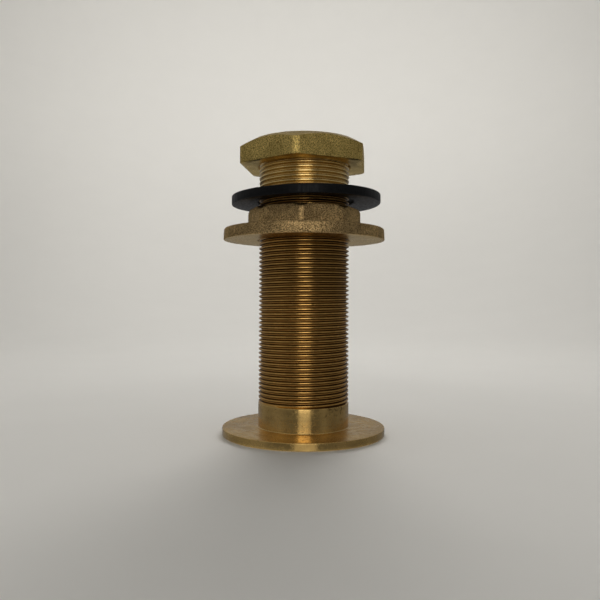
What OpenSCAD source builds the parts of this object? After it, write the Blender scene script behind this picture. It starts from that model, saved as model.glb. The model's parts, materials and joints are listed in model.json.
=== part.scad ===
// Thru hull fitting: a flanged, threaded tube that carries a water pipe through a boat's hull,
// with a flanged nut, a rubber washer and a hexagonal back nut on its thread.
// Millimetres. The tube's axis is +Z and the outboard flange's underside is z = 0.

/* [Hull body] */
// Diameter of the outboard flange
flange_d = 86; // [76:0.5:100]
// Thickness of the outboard flange
flange_t = 3.9; // [3:0.1:6]
// Diameter of the smooth collar between the flange and the thread
collar_d = 48.1; // [48:0.1:52]
// Height of the collar's upper end
collar_top = 16.5; // [10:0.5:30]
// Overall length of the body
body_length = 152.6; // [152:0.1:180]
// Diameter of the water passage
bore_d = 38; // [30:0.5:40]
// Diameter of the wider water inlet at the flange
inlet_d = 40; // [38:0.5:42]
// Depth of the water inlet
inlet_depth = 15; // [14:0.5:20]
// Radius of the inlet's rounded mouth
mouth_r = 2.5; // [1:0.5:3]

/* [Installation lugs] */
// Height at which the two lugs inside the inlet start
lug_z = 5; // [4:0.5:6]
// Length of the lugs along the inlet
lug_length = 9; // [5:0.5:9]
// Width of the lugs
lug_width = 6; // [4:0.5:8]
// How far the lugs stand in from the inlet's wall
lug_height = 3.5; // [2:0.5:5]

/* [Pipe thread] */
// Outside diameter over the thread's crests
thread_d = 47.8; // [46:0.1:47.9]
// Distance from one crest to the next
thread_pitch = 2.309; // [2:0.001:2.5]
// Depth of the thread
thread_depth = 1.479; // [1.2:0.001:1.5]
// Width of a crest's flat top
crest_flat = 0.5; // [0.3:0.05:0.6]

/* [Flange nut] */
// Height of the flange nut's underside
flange_nut_z = 102.3; // [40:0.1:110]
// Diameter of its round flange
nut_flange_d = 85.4; // [70:0.1:100]
// Thickness of its round flange
nut_flange_t = 6; // [4:0.1:10]
// How much the flange's upper edge is drawn in
nut_flange_draft = 0.25; // [0:0.05:1]
// Distance across the corners of its octagonal hub
hub_corners = 60.6; // [56:0.1:66]
// Overall height of the flange nut
flange_nut_h = 16.2; // [12:0.1:17]
// Turn of the hub about the axis
hub_turn = 42; // [0:1:45]

/* [Rubber washer] */
// Height of the middle of the washer's rim
washer_z = 123.7; // [123.4:0.1:135]
// Outside diameter of the washer
washer_d = 79; // [65:0.1:95]
// Diameter of the washer's hole
washer_hole_d = 51; // [50.5:0.1:56]
// Thickness of the washer
washer_t = 4.7; // [3:0.1:5]
// How much higher the washer's hole stands than its sagging rim
washer_dish = 1.4; // [0:0.1:2]
// How far the loose washer hangs off centre
washer_shift = 1; // [0:0.1:1]
// Tilt of the loose washer
washer_tilt = 0.8; // [0:0.1:1]

/* [Hex nut] */
// Height of the hex nut's underside
hex_nut_z = 141.1; // [135:0.1:150]
// Distance across the hex nut's flats
hex_flats = 62.8; // [56:0.1:70]
// Height of the hex nut
hex_nut_h = 12.5; // [8:0.1:13]
// Diameter of the flat ring on top, inside the chamfer
hex_top_d = 57.2; // [54:0.1:60]
// Turn of the hex nut about the axis
hex_turn = 22.5; // [0:0.5:60]

/* [Hidden] */
$fn = 96;

brass = [0.72, 0.56, 0.32];
bronze = [0.66, 0.52, 0.38];
yellow_brass = [0.70, 0.62, 0.36];
rubber = [0.08, 0.08, 0.09];

flange_r = flange_d / 2;
collar_r = collar_d / 2;
bore_r = bore_d / 2;
inlet_r = inlet_d / 2;
crest_r = thread_d / 2;
root_r = crest_r - thread_depth;
flank = (thread_pitch - crest_flat) / 2;
end_chamfer = 1.5;
edge = 0.4;
thread_turns = floor((body_length - end_chamfer - collar_top) / thread_pitch);

nut_clearance = 0.1;
nut_bore_r = crest_r + nut_clearance;
countersink = 1;
hub_r = hub_corners / 2;
hub_corner_cut = 0.4;
hub_chamfer_w = 1;
hub_chamfer_h = 1.3;
nut_flange_r = nut_flange_d / 2;
nut_edge = 0.6;

washer_r = washer_d / 2;
washer_hole_r = washer_hole_d / 2;
washer_edge = 0.5;

hex_corner_r = hex_flats / 2 / cos(30);
hex_corner_cut = 0.9;
hex_chamfer_angle = 30;
hex_top_r = hex_top_d / 2;
hex_chamfer_h = (hex_corner_r - hex_corner_cut - hex_top_r) * tan(hex_chamfer_angle);

// Points of an inside or outside quarter round, centred at [x, z]
function arc_points(x, z, r, from, to, steps = 6) = [
    for (i = [0:steps])
        let (a = from + (to - from) * i / steps)
            [x + r * cos(a), z + r * sin(a)]
];

// Outline of one thread ridge whose lower root starts at height z
function ridge_points(z) = [
    [root_r, z],
    [crest_r, z + flank],
    [crest_r, z + flank + crest_flat]
];

// Outline of the whole threaded length, from the collar upwards
function thread_points() = [
    for (i = [0:thread_turns - 1])
        each ridge_points(collar_top + i * thread_pitch)
];

// Running bore with a countersink at both ends, to be cut out of a nut of height h
module nut_bore(h) {
    past = 1;
    sink_r = nut_bore_r + countersink;
    rotate_extrude()
        polygon([
            [0, -past],
            [sink_r, -past],
            [sink_r, 0],
            [nut_bore_r, countersink],
            [nut_bore_r, h - countersink],
            [sink_r, h],
            [sink_r, h + past],
            [0, h + past]
        ]);
}

// One-piece body: outboard flange, collar and threaded tube around the water passage
module hull_body() {
    thread_end = collar_top + thread_turns * thread_pitch;
    color(brass) {
        rotate_extrude()
            polygon(concat(
                [
                    [bore_r, inlet_depth + inlet_r - bore_r],
                    [inlet_r, inlet_depth]
                ],
                arc_points(inlet_r + mouth_r, mouth_r, mouth_r, 180, 270),
                [
                    [flange_r - edge, 0],
                    [flange_r, edge],
                    [flange_r, flange_t - edge],
                    [flange_r - edge, flange_t],
                    [collar_r + edge, flange_t],
                    [collar_r, flange_t + edge],
                    [collar_r, collar_top - edge],
                    [collar_r - edge, collar_top]
                ],
                thread_points(),
                [
                    [root_r, thread_end],
                    [root_r, body_length],
                    [bore_r + edge, body_length],
                    [bore_r, body_length - edge]
                ]
            ));
        for (side = [0, 180])
            rotate([0, 0, side])
                lug();
    }
}

// Lug inside the inlet that holds the body still while its nuts are tightened
module lug() {
    weld = 0.5;
    intersection() {
        translate([inlet_r - lug_height, -lug_width / 2, lug_z])
            cube([flange_r, lug_width, lug_length]);
        cylinder(r = inlet_r + weld, h = body_length);
    }
}

// Cast nut with a wide round flange below and an octagonal hub above
module flange_nut() {
    top_r = nut_flange_r - nut_flange_draft;
    color(bronze)
        translate([0, 0, flange_nut_z])
            difference() {
                union() {
                    rotate_extrude()
                        polygon([
                            [0, 0],
                            [nut_flange_r - nut_edge, 0],
                            [nut_flange_r, nut_edge],
                            [top_r, nut_flange_t - nut_edge],
                            [top_r - nut_edge, nut_flange_t],
                            [0, nut_flange_t]
                        ]);
                    hub();
                }
                nut_bore(flange_nut_h);
            }
}

// Octagonal hub with its corners trimmed round and its upper edge chamfered
module hub() {
    trim_r = hub_r - hub_corner_cut;
    intersection() {
        rotate([0, 0, hub_turn])
            cylinder(r = hub_r, h = flange_nut_h, $fn = 8);
        rotate_extrude()
            polygon([
                [0, 0],
                [trim_r, 0],
                [trim_r, flange_nut_h - hub_chamfer_h],
                [trim_r - hub_chamfer_w, flange_nut_h],
                [0, flange_nut_h]
            ]);
    }
}

// Loose rubber sealing washer that hangs slightly askew on the thread, its rim sagging all round
module rubber_washer() {
    half = washer_t / 2;
    color(rubber)
        translate([washer_shift, 0, washer_z])
            rotate([0, -washer_tilt, 0])
                rotate_extrude()
                    polygon([
                        [washer_hole_r, washer_dish - half],
                        [washer_r - washer_edge, -half],
                        [washer_r, -half + washer_edge],
                        [washer_r, half - washer_edge],
                        [washer_r - washer_edge, half],
                        [washer_hole_r, washer_dish + half]
                    ]);
}

// Hexagonal back nut, chamfered on its upper side only
module hex_nut() {
    trim_r = hex_corner_r - hex_corner_cut;
    color(yellow_brass)
        translate([0, 0, hex_nut_z])
            difference() {
                intersection() {
                    rotate([0, 0, hex_turn])
                        cylinder(r = hex_corner_r, h = hex_nut_h, $fn = 6);
                    rotate_extrude()
                        polygon([
                            [0, 0],
                            [trim_r, 0],
                            [trim_r, hex_nut_h - hex_chamfer_h],
                            [hex_top_r, hex_nut_h],
                            [0, hex_nut_h]
                        ]);
                }
                nut_bore(hex_nut_h);
            }
}

hull_body();
flange_nut();
rubber_washer();
hex_nut();
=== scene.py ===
import json
import math

import bmesh
import bpy
import numpy as np
from mathutils import Euler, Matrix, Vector, noise


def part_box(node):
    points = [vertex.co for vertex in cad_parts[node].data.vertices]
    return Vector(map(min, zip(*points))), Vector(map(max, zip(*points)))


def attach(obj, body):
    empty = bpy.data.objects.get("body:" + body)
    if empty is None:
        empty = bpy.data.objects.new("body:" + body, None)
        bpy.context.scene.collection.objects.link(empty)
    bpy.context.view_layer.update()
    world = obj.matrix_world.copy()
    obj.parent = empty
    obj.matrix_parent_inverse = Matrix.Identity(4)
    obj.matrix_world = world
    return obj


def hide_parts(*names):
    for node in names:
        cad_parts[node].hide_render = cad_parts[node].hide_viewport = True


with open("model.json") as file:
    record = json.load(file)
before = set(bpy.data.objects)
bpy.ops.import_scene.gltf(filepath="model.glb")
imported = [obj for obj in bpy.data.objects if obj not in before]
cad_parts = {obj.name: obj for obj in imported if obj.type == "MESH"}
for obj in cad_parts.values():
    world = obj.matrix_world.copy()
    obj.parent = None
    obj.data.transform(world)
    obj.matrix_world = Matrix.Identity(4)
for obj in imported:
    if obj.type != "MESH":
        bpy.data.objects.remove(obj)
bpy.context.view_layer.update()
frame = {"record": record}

# A thru hull fitting: a turned brass body with a helical pipe thread, a cast flange nut, a loose
# rubber washer and a cast hex nut. Everything is in metres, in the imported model's own frame, with
# the tube's axis on +Z and the front at -Y. Angles round the axis are measured from +X.

MM = 0.001
record = frame["record"]
mounts = {m["name"]: m for m in record["mounts"]}


# ---------------------------------------------------------------- sizes

def half_width(node):
    """Radius of the circle round the axis that just fits inside a round CAD node's box."""
    low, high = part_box(node)
    return min(high.x, -low.x, high.y, -low.y)


body_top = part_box("hull_body")[1].z
flange_r = half_width("hull_body")
flange_top = mounts["hull_seat"]["pos_m"][2]
bore_r = mounts["water_passage"]["dims"]["r_mm"] * MM
collar_r = 24.05 * MM
collar_top = 16.5 * MM
inlet_r = 20 * MM
inlet_top = 15 * MM
mouth_r = 2.5 * MM
lug_low, lug_high = 5 * MM, 14 * MM
lug_height, lug_half_width = 3.5 * MM, 3 * MM

# Pipe thread with 55 degree flanks: the pitch comes from the nut's travel for each radian it turns
pitch = record["behaviour"]["couplings"][0]["ratio"] * 2 * math.pi
crest_r = 23.9 * MM
crest_half = 0.25 * MM
crest_edge = 0.08 * MM
root_round = 0.29 * MM
thread_start = 15.96 * MM
flank_angle = math.radians(27.5)
sharp_depth = (pitch / 2 - crest_half) / math.tan(flank_angle)
root_r = crest_r - sharp_depth + root_round * (1 / math.sin(flank_angle) - 1)
run_out = 0.3 * pitch
nut_play = 0.12 * MM

nut_low, nut_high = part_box("flange_nut")
nut_flange_r = half_width("flange_nut")
nut_flange_t = 6 * MM
hub_corner_r = 30.3 * MM
hub_trim_r = 29.9 * MM
hub_corner_angle = math.radians(-93)

washer_low, washer_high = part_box("rubber_washer")
washer_r = 39.5 * MM
washer_hole_r = 25.5 * MM
washer_t = 4.7 * MM
washer_dish = 1.4 * MM
washer_middle = 123.7 * MM
washer_tilt = math.radians(0.8)
washer_twist = 0.35 * MM

hex_low, hex_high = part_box("hex_nut")
hex_flats = 62.8 * MM
hex_trim_r = 35.36 * MM
hex_top_r = 28.6 * MM
hex_corner_angle = math.radians(-97.5)
hex_chamfer = math.radians(30)


# ---------------------------------------------------------------- mesh building

def arc(centre_r, centre_z, radius, start, end, steps=4):
    """Points (r, z) along an arc of an outline, from one angle to another in degrees."""
    angles = np.radians(np.linspace(start, end, steps + 1))
    return [(centre_r + radius * math.cos(a), centre_z + radius * math.sin(a)) for a in angles]


def azimuths(columns):
    """Angles of the columns of a skin round the axis."""
    return np.arange(columns) * 2 * math.pi / columns


def ring_strip(rings, columns):
    """Vertices and quads of a skin over rings (r, z), where each is one number or one for each column."""
    phi = azimuths(columns)
    points = []
    for r, z in rings:
        r, z = np.broadcast_to(r, columns), np.broadcast_to(z, columns)
        points.append(np.stack([r * np.cos(phi), r * np.sin(phi), z], axis=1))
    faces = []
    for k in range(len(rings) - 1):
        for j in range(columns):
            n = (j + 1) % columns
            low, high = k * columns, (k + 1) * columns
            faces.append((low + j, low + n, high + n, high + j))
    return np.concatenate(points), faces


def thread_profile():
    """Half of one thread, from the middle of a crest to the middle of a root, as (height, radius)."""
    reach = crest_edge * math.tan((math.pi / 2 - flank_angle) / 2)
    edge_angles = (0, (math.pi / 2 - flank_angle) / 2, math.pi / 2 - flank_angle)
    crest = [(0, crest_r)]
    crest += [(crest_half - reach + crest_edge * math.sin(a), crest_r - crest_edge * (1 - math.cos(a)))
              for a in edge_angles]
    root_angles = (math.pi / 2 - flank_angle, math.pi / 5, math.pi / 10, 0)
    root = [(pitch / 2 - root_round * math.sin(a), root_r + root_round * (1 - math.cos(a)))
            for a in root_angles]
    return np.array(crest + root)


def thread_radius(z, phi):
    """Radius of the thread at height z and azimuth phi. A crest passes thread_start on +X."""
    turn = (z - thread_start) / pitch - phi / (2 * math.pi)
    along = np.abs(turn - np.round(turn)) * pitch
    heights, radii = thread_profile().T
    return np.interp(along, heights, radii)


def turn_fractions():
    """Where the rows of a thread lie within one pitch: close together round crest and root."""
    half = thread_profile()[:, 0] / pitch
    return list(half) + list(1 - half[-2:0:-1])


def thread_strip(low, high, columns, radius_at):
    """Vertices and quads of a helical surface between two flat ends. Its rows follow the helix."""
    fractions = turn_fractions()
    rows_a_turn = len(fractions)
    first = math.floor((low - thread_start) / pitch) - 1
    last = math.ceil((high - thread_start) / pitch) + 1
    rows = np.array([t + f for t in range(first, last) for f in fractions])
    phi = azimuths(columns)
    z = thread_start + pitch * (rows[:, None] + phi[None, :] / (2 * math.pi))
    z = np.clip(z, low, high)
    r = radius_at(z, np.broadcast_to(phi, z.shape))
    points = np.stack([r * np.cos(phi), r * np.sin(phi), z], axis=-1).reshape(-1, 3)
    faces = []
    for k in range(len(rows) - 1):
        for j in range(columns):
            a, b = k * columns + j, (k + 1) * columns + j
            if j + 1 < columns:
                faces.append((a, a + 1, b + 1, b))
            elif k + rows_a_turn + 1 < len(rows):
                c = (k + rows_a_turn) * columns
                faces.append((a, c, c + columns, b))
    return points, faces


def build(name, strips, materials, warp=None):
    """One closed object from strips of (points, faces, material number), welded along their seams."""
    weld, sharp_angle = 0.0005 * MM, math.radians(35)
    mesh = bmesh.new()
    for points, faces, material in strips:
        made = [mesh.verts.new(p) for p in (points if warp is None else warp(points))]
        for corners in faces:
            face = mesh.faces.new([made[i] for i in corners])
            face.material_index = material
            face.smooth = True
    bmesh.ops.remove_doubles(mesh, verts=mesh.verts, dist=weld)
    bmesh.ops.dissolve_degenerate(mesh, edges=mesh.edges, dist=weld)
    bmesh.ops.recalc_face_normals(mesh, faces=mesh.faces)
    data = bpy.data.meshes.new(name)
    mesh.to_mesh(data)
    mesh.free()
    for m in materials:
        data.materials.append(m)
    data.set_sharp_from_angle(angle=sharp_angle)
    piece = bpy.data.objects.new(name, data)
    bpy.context.scene.collection.objects.link(piece)
    return piece


def uneven(r, z, columns, amount, size, seed):
    """Radii with the slow unevenness of a sand casting added."""
    phi = azimuths(columns)
    r, z = np.broadcast_to(r, columns), np.broadcast_to(z, columns)
    shift = [
        noise.noise(Vector((a * math.cos(p) / size, a * math.sin(p) / size, b / size + seed)))
        for a, b, p in zip(r, z, phi)
    ]
    return r + amount * np.array(shift)


def polygon_radius(columns, sides, flats, corner_r, corner_angle):
    """Radius at each column of a regular prism whose corners are trimmed to a cylinder."""
    step = 2 * math.pi / sides
    off = np.mod(azimuths(columns) - corner_angle, step) - step / 2
    return np.minimum(flats / 2 / np.cos(off), corner_r)


# ---------------------------------------------------------------- materials

class Shader:
    """A material's nodes, with a short call for each kind that the materials below use."""

    def __init__(self, name):
        self.material = bpy.data.materials.new(name)
        self.material.use_nodes = True
        self.tree = self.material.node_tree
        self.tree.nodes.clear()
        output = self.node("ShaderNodeOutputMaterial")
        self.surface = self.node("ShaderNodeBsdfPrincipled")
        self.tree.links.new(self.surface.outputs["BSDF"], output.inputs["Surface"])
        self.place = self.node("ShaderNodeTexCoord").outputs["Object"]

    def feed(self, socket, value):
        """Links a socket to another, or sets it to a constant."""
        if isinstance(value, bpy.types.NodeSocket):
            self.tree.links.new(value, socket)
        else:
            socket.default_value = value

    def node(self, kind, inputs=(), **settings):
        made = self.tree.nodes.new(kind)
        for key, value in settings.items():
            setattr(made, key, value)
        for key, value in dict(inputs).items():
            self.feed(made.inputs[key], value)
        return made

    def math(self, operation, a, b=0.0):
        return self.node("ShaderNodeMath", {0: a, 1: b}, operation=operation).outputs[0]

    def product(self, first, *others):
        for value in others:
            first = self.math("MULTIPLY", first, value)
        return first

    def total(self, first, *others):
        for value in others:
            first = self.math("ADD", first, value)
        return first

    def parts(self):
        """The three coordinates of the place that is shaded."""
        return self.node("ShaderNodeSeparateXYZ", {0: self.place}).outputs

    def radius(self):
        """Distance from the tube's axis."""
        x, y, _ = self.parts()
        return self.math("SQRT", self.total(self.product(x, x), self.product(y, y)))

    def stretched(self, wide, tall, height=None):
        """Where to look up a noise of size 1 so that its features are wide across and tall along the axis."""
        x, y, z = self.parts()
        scaled = (self.product(x, 1 / wide), self.product(y, 1 / wide), self.product(height or z, 1 / tall))
        return self.node("ShaderNodeCombineXYZ", dict(enumerate(scaled))).outputs[0]

    def noise(self, size, detail=3.0, roughness=0.55, vector=None):
        """Noise whose features are about size metres across, or size units of a vector given."""
        inputs = {"Vector": vector or self.place, "Scale": 1 / size, "Detail": detail, "Roughness": roughness}
        return self.node("ShaderNodeTexNoise", inputs).outputs["Fac"]

    def span(self, value, low, high, to_low=0.0, to_high=1.0):
        """value from low to high, eased to lie from to_low to to_high."""
        inputs = {"Value": value, "From Min": low, "From Max": high, "To Min": to_low, "To Max": to_high}
        return self.node("ShaderNodeMapRange", inputs, interpolation_type="SMOOTHSTEP").outputs[0]

    def outside(self, share):
        """1 where a share is 0, and 0 where it is 1."""
        return self.span(share, 0, 1, 1, 0)

    def mix(self, amount, a, b):
        return self.node("ShaderNodeMix", {0: amount, 6: a, 7: b}, data_type="RGBA").outputs[2]

    def layers(self, colour, *covers):
        """A colour with others laid over it in turn, each as (how much it covers, colour)."""
        for cover, tint in covers:
            colour = self.mix(cover, colour, tint)
        return colour

    def bump(self, height, depth, strength=1.0, normal=None):
        inputs = {"Height": height, "Distance": depth, "Strength": strength}
        if normal is not None:
            inputs["Normal"] = normal
        return self.node("ShaderNodeBump", inputs).outputs[0]

    def finish(self, colour, roughness, normal, metallic=1.0, **constants):
        """Feeds the surface. The constants are named as its sockets are, with _ for a space."""
        for key, value in (("Base Color", colour), ("Roughness", roughness), ("Normal", normal)):
            self.feed(self.surface.inputs[key], value)
        self.surface.inputs["Metallic"].default_value = metallic
        for key, value in constants.items():
            self.surface.inputs[key.replace("_", " ")].default_value = value
        return self.material


def turning_lines(s, spacing):
    """Fine rings left by the lathe: they run round walls at each height and round faces at each radius."""
    _, _, z = s.parts()
    along = s.total(z, s.radius())
    return s.noise(1, detail=2.0, vector=s.stretched(25 * MM, spacing, along))


def turned_brass():
    """Machined brass: stained in patches, spotted on the collar, filmed in its thread's grooves (less at the
    thread's lighter upper end), and darkened on the thread by painted shade.
    """
    s = Shader("turned_brass")
    x, _, z = s.parts()
    bright, dull = (0.82, 0.545, 0.19, 1), (0.62, 0.40, 0.14, 1)
    # Colours of a redder tint laid over the thread and of its lighter, yellower upper end
    thread_tint, upper_colour = (0.93, 0.53, 0.15, 1), (0.95, 0.69, 0.29, 1)
    # Dark colour of the stains and the film, also used for the painted shade on the thread
    stain_and_shade_colour = (0.082, 0.041, 0.010, 1)

    # Textures, from the widest patches to the finest turning lines
    patches = s.span(s.noise(14 * MM, detail=4.0), 0.40, 0.66)
    cloudy = s.noise(7 * MM, detail=5.0, roughness=0.6)
    blots = s.noise(2.6 * MM, detail=5.0, roughness=0.7)
    spots = s.noise(1.1 * MM, detail=5.0, roughness=0.7)
    torn = s.noise(1, detail=3.0, vector=s.stretched(3.5 * MM, 0.35 * MM))
    coarse = turning_lines(s, 0.8 * MM)
    fine = turning_lines(s, 0.22 * MM)

    # Regions: the thread, its upper end, which is coloured lighter and yellower, its grooves, and the
    # flange's top face
    in_thread = s.span(z, collar_top, collar_top + run_out)
    upper_end = s.span(z, 0.80 * body_top, 0.86 * body_top)
    below_crest = s.span(s.radius(), crest_r - 0.45 * MM, crest_r - 0.03 * MM, 1, 0)
    above_root = s.span(s.radius(), root_r, root_r + 0.25 * MM, 0.05, 1)
    groove = s.product(below_crest, in_thread)
    on_top_face = s.product(s.span(z, flange_top - 0.25 * MM, flange_top - 0.08 * MM),
                            s.span(z, flange_top + 0.02 * MM, flange_top + 0.15 * MM, 1, 0))

    # Dark spots, which crowd together on one side of the collar just below the thread
    crowded = s.product(s.span(z, 0.5 * collar_top, 0.95 * collar_top), s.outside(in_thread),
                        s.span(x, 2 * MM, 18 * MM, 0.25, 1))
    specks = s.span(s.total(spots, s.product(crowded, 0.12)), 0.56, 0.70)
    spotted = s.product(specks, s.span(blots, 0.42, 0.58, 0.12, 0.75))

    # Film on the thread's flanks, and painted shade over the thread: darker on its +X side and from its
    # middle upwards
    # Film weight: lighter towards the upper end, and its rise towards +X is painted shade
    flank_coat_and_side_shade = s.product(s.span(upper_end, 0, 1, 1, 0.45), s.span(x, -20 * MM, 14 * MM, 0.95, 1))
    mottled = s.product(flank_coat_and_side_shade, s.span(cloudy, 0.3, 0.55, 0.9, 1))
    filmed = s.product(groove, above_root, mottled, s.span(torn, 0.36, 0.58, 0.84, 1))
    shade_amount = s.total(s.span(x, -2 * MM, 10 * MM, 0, 0.18),
                    s.span(z, 0.40 * body_top, 0.56 * body_top, 0, 0.28))
    painted_shade = s.product(shade_amount, in_thread, s.outside(upper_end))

    ringed = s.product(s.span(coarse, 0.45, 0.62), 0.45)
    # The last layer is painted shade over the thread, in the film's dark colour
    colour = s.layers(s.mix(patches, bright, dull), (ringed, dull), (spotted, stain_and_shade_colour),
                      (s.product(in_thread, 0.8), thread_tint), (upper_end, upper_colour), (filmed, stain_and_shade_colour), (painted_shade, stain_and_shade_colour))
    rough = s.total(s.span(fine, 0.3, 0.7, 0.11, 0.17), s.span(blots, 0.40, 0.62, 0.0, 0.14),
                    s.product(groove, flank_coat_and_side_shade, 0.26), s.product(on_top_face, 0.11))
    turned = s.bump(fine, 0.007 * MM, normal=s.bump(coarse, 0.018 * MM))
    normal = s.bump(torn, 0.05 * MM, strength=in_thread, normal=turned)
    return s.finish(colour, rough, normal)


def cast_metal(name, high, low, depth, rough_high_spots):
    """Sand-cast metal: pitted by the sand's grain, brighter where handling has rubbed the high spots; the
    dark pits are partly painted shade and the bright high spots partly painted glints.
    """
    s = Shader(name)
    grain, rough_pits = 0.42 * MM, 0.56
    pits = s.noise(grain, detail=2.0, roughness=0.5)
    fine = s.noise(0.45 * grain, detail=2.0)
    lumps = s.noise(4 * MM, detail=2.0)
    stain = s.span(s.noise(11 * MM, detail=3.0), 0.42, 0.62)
    # Colour follows the bump: dark in the pits, partly as painted shade, and bright on the high spots, as
    # wear and painted glints
    worn_and_glinting = s.span(s.total(s.product(pits, 0.7), s.product(fine, 0.3)), 0.40, 0.58)
    shade = tuple(0.8 * c for c in low[:3]) + (1,)
    colour = s.layers(s.mix(worn_and_glinting, low, high), (s.product(stain, 0.3), shade))
    rough = s.span(worn_and_glinting, 0, 1, rough_pits, rough_high_spots)
    normal = s.bump(fine, 0.3 * depth, normal=s.bump(pits, depth, normal=s.bump(lumps, 0.12 * MM)))
    return s.finish(colour, rough, normal, Specular_Tint=(0.95, 0.85, 0.65, 1))


def machined_face(name, colour_a, colour_b):
    """The turned faces and threads of a casting: smooth, with lathe rings and dull patches."""
    s = Shader(name)
    patches = s.span(s.noise(6 * MM, detail=4.0), 0.38, 0.64)
    lines = turning_lines(s, 0.35 * MM)
    rough = s.total(s.span(lines, 0.3, 0.7, 0.20, 0.30), s.product(patches, 0.10))
    return s.finish(s.mix(patches, colour_a, colour_b), rough, s.bump(lines, 0.008 * MM),
                    Specular_Tint=(0.97, 0.90, 0.72, 1))


def black_rubber():
    """Moulded black rubber with a faint grain, upright marks round its edge and dust in a few scuffs."""
    s = Shader("black_rubber")
    black, dusty = (0.0012, 0.0012, 0.0014, 1), (0.009, 0.009, 0.0085, 1)
    grain = s.noise(0.5 * MM, detail=3.0)
    waves = s.noise(6 * MM, detail=2.0)
    marks = s.noise(1, detail=2.0, vector=s.stretched(0.9 * MM, 12 * MM))
    scuffs = s.span(s.noise(2.2 * MM, detail=5.0, roughness=0.7), 0.60, 0.75)
    rough = s.span(marks, 0.35, 0.65, 0.34, 0.54)
    normal = s.bump(marks, 0.05 * MM, normal=s.bump(grain, 0.02 * MM, normal=s.bump(waves, 0.10 * MM)))
    return s.finish(s.mix(s.product(scuffs, 0.5), black, dusty), rough, normal, metallic=0.0,
                    Specular_IOR_Level=0.22)


# ---------------------------------------------------------------- pieces

def make_body(material):
    """Flange, collar and threaded tube around the passage, as one closed mesh."""
    columns = 112
    phi = azimuths(columns)
    edge, fillet, end_round, end_chamfer = 0.3 * MM, 0.5 * MM, 0.5 * MM, 1.3 * MM
    top = body_top
    end_r = crest_r - end_chamfer

    def radius_at(z, around):
        depth = np.clip((z - collar_top) / run_out, 0, 1)
        cut = crest_r - (crest_r - thread_radius(z, around)) * depth
        return np.minimum(cut, end_r + top - z)

    # Two lugs inside the inlet, on +X and -X, which fade out over a quarter of their half width
    fade = 0.25
    off = np.abs(np.sin(phi)) * inlet_r / lug_half_width
    lug = inlet_r - lug_height * np.clip((1 + fade - off) / fade, 0, 1)
    passage = [
        (end_r, top),
        (bore_r + end_round, top),
        *arc(bore_r + end_round, top - end_round, end_round, 90, 180)[1:],
        (bore_r, 0.7 * top),
        (bore_r, 0.4 * top),
        (bore_r, inlet_top + inlet_r - bore_r),
        (inlet_r, inlet_top),
        (inlet_r, lug_high + edge),
        (lug, lug_high),
        (lug, lug_low),
        (inlet_r, lug_low - edge),
    ]
    outside = [
        *arc(inlet_r + mouth_r, mouth_r, mouth_r, 180, 270, 8),
        (0.5 * (inlet_r + flange_r), 0),
        (flange_r - edge, 0),
        *arc(flange_r - edge, edge, edge, -90, 0)[1:],
        *arc(flange_r - edge, flange_top - edge, edge, 0, 90),
        (0.5 * (collar_r + flange_r), flange_top),
        *arc(collar_r + fillet, flange_top + fillet, fillet, 270, 180),
        (collar_r, 0.5 * (flange_top + collar_top)),
        *arc(collar_r - edge, collar_top - edge, edge, 0, 60, 2),
        (crest_r, collar_top),
    ]
    skin = ring_strip(passage + outside, columns)
    thread = thread_strip(collar_top, top, columns, radius_at)
    return build("hull_body_turned", [(*skin, 0), (*thread, 0)], [material])


def nut_thread(low, high, columns, sink):
    """The nut's internal thread, countersunk at both ends, in step with the body's thread."""
    sink_r = crest_r + sink
    crest_cut = 0.25 * MM

    def radius_at(z, around):
        cut = np.maximum(thread_radius(z, around), root_r + crest_cut) + nut_play
        return np.maximum(cut, np.maximum(sink_r - (z - low), sink_r - (high - z)))

    return thread_strip(low, high, columns, radius_at), sink_r


def make_flange_nut(cast, machined):
    """Round cast flange and octagonal hub, with a machined seat below and a cut thread inside."""
    columns = 360
    low, high = nut_low.z, nut_high.z
    flange_high = low + nut_flange_t
    flats = 2 * hub_corner_r * math.cos(math.pi / 8)
    hub = polygon_radius(columns, 8, flats, hub_trim_r, hub_corner_angle)
    bore, sink_r = nut_thread(low, high, columns, 1.1 * MM)
    seat_edge, round_r, fillet, draft = 0.4 * MM, 1.0 * MM, 1.0 * MM, 0.25 * MM
    chamfer_w, chamfer_h, crown_round, rows = 1.0 * MM, 1.3 * MM, 0.3 * MM, 5
    top_r = nut_flange_r - draft
    hub_top = np.minimum(hub, hub_trim_r - chamfer_w)
    fall = (hub - hub_top) * chamfer_h / chamfer_w + crown_round
    seat = [(sink_r, low), (0.5 * (sink_r + nut_flange_r), low), (nut_flange_r - seat_edge, low)]
    rim = [
        *arc(nut_flange_r - seat_edge, low + seat_edge, seat_edge, -90, 0, 3),
        (nut_flange_r - 0.4 * draft, low + 0.5 * nut_flange_t),
        *arc(top_r - round_r, flange_high - round_r, round_r, 0, 90, 5),
    ]
    shoulder = [(0.5 * (top_r + hub), flange_high)]
    shoulder += [(hub + fillet * (1 - math.sin(a)), flange_high + fillet * (1 - math.cos(a)))
                 for a in np.radians([0, 30, 60, 90])]
    wall_low = flange_high + fillet
    wall = [(hub, wall_low + (high - fall - wall_low) * k / rows) for k in range(1, rows + 1)]
    crown = [
        (hub_top + 0.1 * MM, high - 0.25 * MM),
        (hub_top - crown_round, high),
        (sink_r, high),
    ]
    grown = [(uneven(r, z, columns, amount=0.10 * MM, size=9 * MM, seed=3), z)
             for r, z in rim[1:] + shoulder + wall]
    outside = [rim[0]] + grown + crown
    strips = [
        (*ring_strip(seat + [rim[0]], columns), 1),
        (*ring_strip(outside, columns), 0),
        (*bore, 1),
    ]
    return build("flange_nut_cast", strips, [cast, machined])


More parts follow.
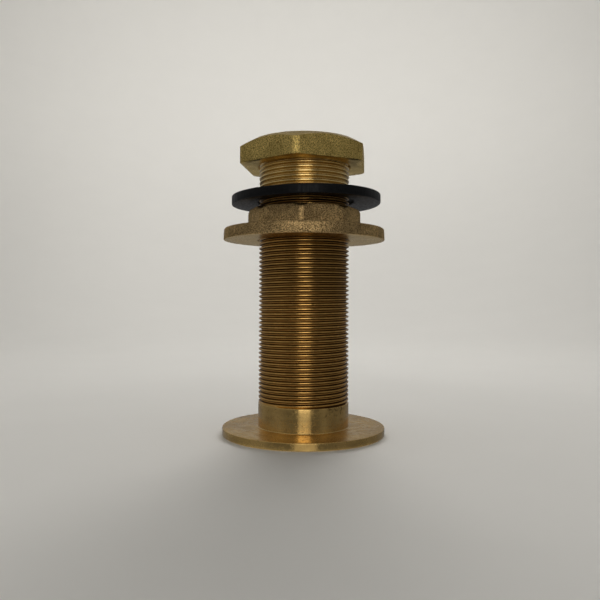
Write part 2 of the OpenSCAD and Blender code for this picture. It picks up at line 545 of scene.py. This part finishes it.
def make_washer(material):
    """Flat rubber ring, a little warped, that hangs askew on the thread with its rim sagging."""
    columns = 160
    half, edge, bulge = washer_t / 2, 0.6 * MM, 0.02 * MM
    rings = [
        (washer_hole_r + edge, washer_dish + half),
        *arc(washer_r - edge, half - edge, edge, 90, 0),
        (washer_r + bulge, 0),
        *arc(washer_r - edge, edge - half, edge, 0, -90),
        (0.5 * (washer_hole_r + washer_r), 0.4 * washer_dish - half),
        *arc(washer_hole_r + edge, washer_dish + edge - half, edge, 270, 180),
        *arc(washer_hole_r + edge, washer_dish + half - edge, edge, 180, 90),
    ]
    centre = (washer_low + washer_high) / 2

    def warp(points):
        x, y, z = points.T
        lift = x * math.tan(washer_tilt) - washer_twist * x * y / washer_r**2
        return np.stack([x + centre.x, y + centre.y, z + lift + washer_middle], axis=1)

    return build("rubber_washer_moulded", [(*ring_strip(rings, columns), 0)], [material], warp=warp)


def make_hex_nut(cast, machined):
    """Cast hexagon with turned-off corners, a turned chamfer on top and a cut thread inside."""
    columns = 360
    low, high = hex_low.z, hex_high.z
    wall_r = polygon_radius(columns, 6, hex_flats, hex_trim_r, hex_corner_angle)
    bore, sink_r = nut_thread(low, high, columns, 1.0 * MM)
    fall = (wall_r - hex_top_r) * math.tan(hex_chamfer)
    edge, rows = 0.35 * MM, 5
    wall = [(wall_r - edge, low), (wall_r - 0.3 * edge, low + 0.3 * edge), (wall_r, low + edge)]
    wall += [(wall_r, low + edge + (high - fall - low - edge) * k / rows) for k in range(1, rows + 1)]
    grown = [(uneven(r, z, columns, amount=0.08 * MM, size=8 * MM, seed=9), z) for r, z in wall]
    underside = [(sink_r, low), (0.5 * (sink_r + wall_r), low), grown[0]]
    crown = [grown[-1], (hex_top_r, high), (sink_r, high)]
    strips = [
        (*ring_strip(underside, columns), 1),
        (*ring_strip(grown, columns), 0),
        (*ring_strip(crown, columns), 1),
        (*bore, 1),
    ]
    return build("hex_nut_cast", strips, [cast, machined])


def add_pieces():
    """Makes the four pieces, parents each to its body and hides the CAD node it replaces."""
    bronze = cast_metal("cast_bronze", high=(0.86, 0.585, 0.26, 1), low=(0.14, 0.088, 0.036, 1),
                        depth=0.16 * MM, rough_high_spots=0.33)
    bronze_face = machined_face("machined_bronze", (0.74, 0.54, 0.27, 1), (0.55, 0.40, 0.20, 1))
    yellow = cast_metal("cast_brass", high=(0.97, 0.715, 0.235, 1), low=(0.26, 0.175, 0.042, 1),
                        depth=0.15 * MM, rough_high_spots=0.35)
    yellow_face = machined_face("machined_brass", (0.78, 0.57, 0.21, 1), (0.58, 0.42, 0.15, 1))
    made = (
        (make_body(turned_brass()), "hull_body", "body_brass"),
        (make_flange_nut(bronze, bronze_face), "flange_nut", "cast_bronze"),
        (make_washer(black_rubber()), "rubber_washer", "washer_rubber"),
        (make_hex_nut(yellow, yellow_face), "hex_nut", "cast_brass"),
    )
    for piece, node, finish in made:
        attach(piece, node)
        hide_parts(node)


# ---------------------------------------------------------------- stage, light and camera

def plain(name, colour, rough):
    """A matt stage material with a trace of unevenness."""
    s = Shader(name)
    tone = s.noise(60 * MM, detail=2.0)
    darker = tuple(0.97 * c for c in colour[:3]) + (1,)
    return s.finish(s.mix(tone, colour, darker), rough, s.bump(tone, 0.01 * MM), metallic=0.0)


def add_stage():
    """A round pale floor that curves up into a pale wall well outside every camera and light."""
    centre_r, floor_r, curve_r, wall_high, columns = 0.001, 0.5, 1.3, 2.6, 96
    rings = [(centre_r, 0), (0.5 * floor_r, 0), (floor_r, 0)]
    rings += arc(floor_r, curve_r, curve_r, -90, 0, 32)[1:]
    rings += [(floor_r + curve_r, wall_high)]
    points, faces = ring_strip(rings, columns)
    faces.append(tuple(range(columns)))
    stage = build("stage", [(points, faces, 0)], [plain("stage_paper", (0.78, 0.768, 0.735, 1), 0.9)])
    stage.visible_glossy = False


def add_light(name, place, target, width, height, watts, colour):
    """A rectangular light that faces its target and isn't seen itself."""
    data = bpy.data.lights.new(name, "AREA")
    data.shape = "RECTANGLE"
    data.size, data.size_y = width, height
    data.energy = watts
    data.color = colour
    light = bpy.data.objects.new(name, data)
    light.location = place
    light.rotation_euler = (Vector(target) - Vector(place)).to_track_quat("-Z", "Y").to_euler()
    light.visible_camera = False
    bpy.context.scene.collection.objects.link(light)
    return light


def add_lights():
    """Two panels behind the camera draw the stripe on the metals, and four lights wash the stage alone."""
    warm, neutral = (1.0, 0.97, 0.93), (1.0, 0.985, 0.96)
    panels = (
        add_light("panel_high", (0.03, -0.80, 0.31), (0.03, 0, 0.31), 0.40, 0.50, 0.88, warm),
        add_light("panel_low", (0.04, -0.80, -0.18), (0.04, 0, -0.18), 0.42, 0.48, 0.245, warm),
    )
    for panel in panels:
        panel.visible_diffuse = False
    # Name, place, target, width, height, watts and spread in degrees
    stage_lights = (
        ("wall_wash", (0.0, 0.7, 1.7), (0, 1.8, 1.0), 1.6, 0.5, 3.2, 120),
        ("horizon_wash", (0.0, 0.2, 1.2), (0, 1.8, 0.4), 1.6, 0.4, 3.9, 100),
        ("window_high", (0.12, 1.3, 1.2), (0, 0, 0), 1.0, 0.6, 0.9, 90),
        ("window_low", (0.15, 1.4, 0.8), (0, 0, 0), 1.2, 0.4, 2.0, 60),
    )
    for name, place, target, width, height, watts, spread in stage_lights:
        light = add_light(name, place, target, width, height, watts, neutral)
        light.data.spread = math.radians(spread)
        light.visible_glossy = False
    add_room()


def ramp_node(tree, value, low, high, stops):
    """A grey ramp over a value from low to high, with stops of (value, level) joined smoothly."""
    share = tree.nodes.new("ShaderNodeMapRange")
    tree.links.new(value, share.inputs["Value"])
    share.inputs["From Min"].default_value = low
    share.inputs["From Max"].default_value = high
    made = tree.nodes.new("ShaderNodeValToRGB")
    made.color_ramp.interpolation = "EASE"
    elements = made.color_ramp.elements
    while len(elements) < len(stops):
        elements.new(0.5)
    for element, (at, level) in zip(elements, stops):
        element.position = (at - low) / (high - low)
        element.color = (level, level, level, 1)
    tree.links.new(share.outputs[0], made.inputs[0])
    return made.outputs["Color"]


def add_room():
    """The dim room that the brass mirrors: its tone depends on the bearing from the front and the height."""
    by_bearing = (
        (-180, 0.20), (-132, 0.17), (-95, 0.15), (-62, 0.18), (-40, 0.11), (-20, 0.10),
        (20, 0.09), (35, 0.10), (50, 0.15), (80, 0.12), (110, 0.14), (145, 0.16), (180, 0.20),
    )
    by_height = (
        (-1, 1.5), (-0.5, 1.2), (-0.26, 0.5), (-0.12, 0.58), (0, 0.5),
        (0.15, 0.74), (0.3, 0.9), (0.7, 0.6), (0.9, 1.1), (1, 3.2),
    )
    strength = 2.0
    world = bpy.data.worlds.new("room")
    bpy.context.scene.world = world
    world.use_nodes = True
    tree = world.node_tree
    tree.nodes.clear()

    def joined(kind, operation, a, b):
        made = tree.nodes.new(kind)
        made.operation = operation
        for key, value in enumerate((a, b)):
            if isinstance(value, bpy.types.NodeSocket):
                tree.links.new(value, made.inputs[key])
            else:
                made.inputs[key].default_value = value
        return made.outputs[0]

    direction = tree.nodes.new("ShaderNodeTexCoord").outputs["Generated"]
    parts = tree.nodes.new("ShaderNodeSeparateXYZ")
    tree.links.new(direction, parts.inputs[0])
    x, y, z = parts.outputs
    front = joined("ShaderNodeMath", "MULTIPLY", y, -1.0)
    bearing = joined("ShaderNodeMath", "ARCTAN2", x, front)
    turns = [(math.radians(a), level) for a, level in by_bearing]
    around = ramp_node(tree, bearing, -math.pi, math.pi, turns)
    upwards = ramp_node(tree, z, -1, 1, by_height)
    tone = joined("ShaderNodeVectorMath", "MULTIPLY", around, upwards)
    sky = tree.nodes.new("ShaderNodeBackground")
    tree.links.new(tone, sky.inputs["Color"])
    sky.inputs["Strength"].default_value = strength
    output = tree.nodes.new("ShaderNodeOutputWorld")
    tree.links.new(sky.outputs[0], output.inputs["Surface"])


def add_camera():
    """Level with the middle of the tube and square to it, leaning a hair with the fitting."""
    data = bpy.data.cameras.new("camera")
    data.sensor_width = 36
    data.lens = 37.44
    camera = bpy.data.objects.new("camera", data)
    camera.location = (-2.02 * MM, -333.7 * MM, 70.8 * MM)
    lean = math.radians(-0.24)
    camera.rotation_euler = Euler((math.radians(90), lean, 0), "XYZ")
    bpy.context.scene.collection.objects.link(camera)
    bpy.context.scene.camera = camera


add_pieces()
add_stage()
add_lights()
add_camera()
bpy.context.scene.view_settings.view_transform = "Standard"
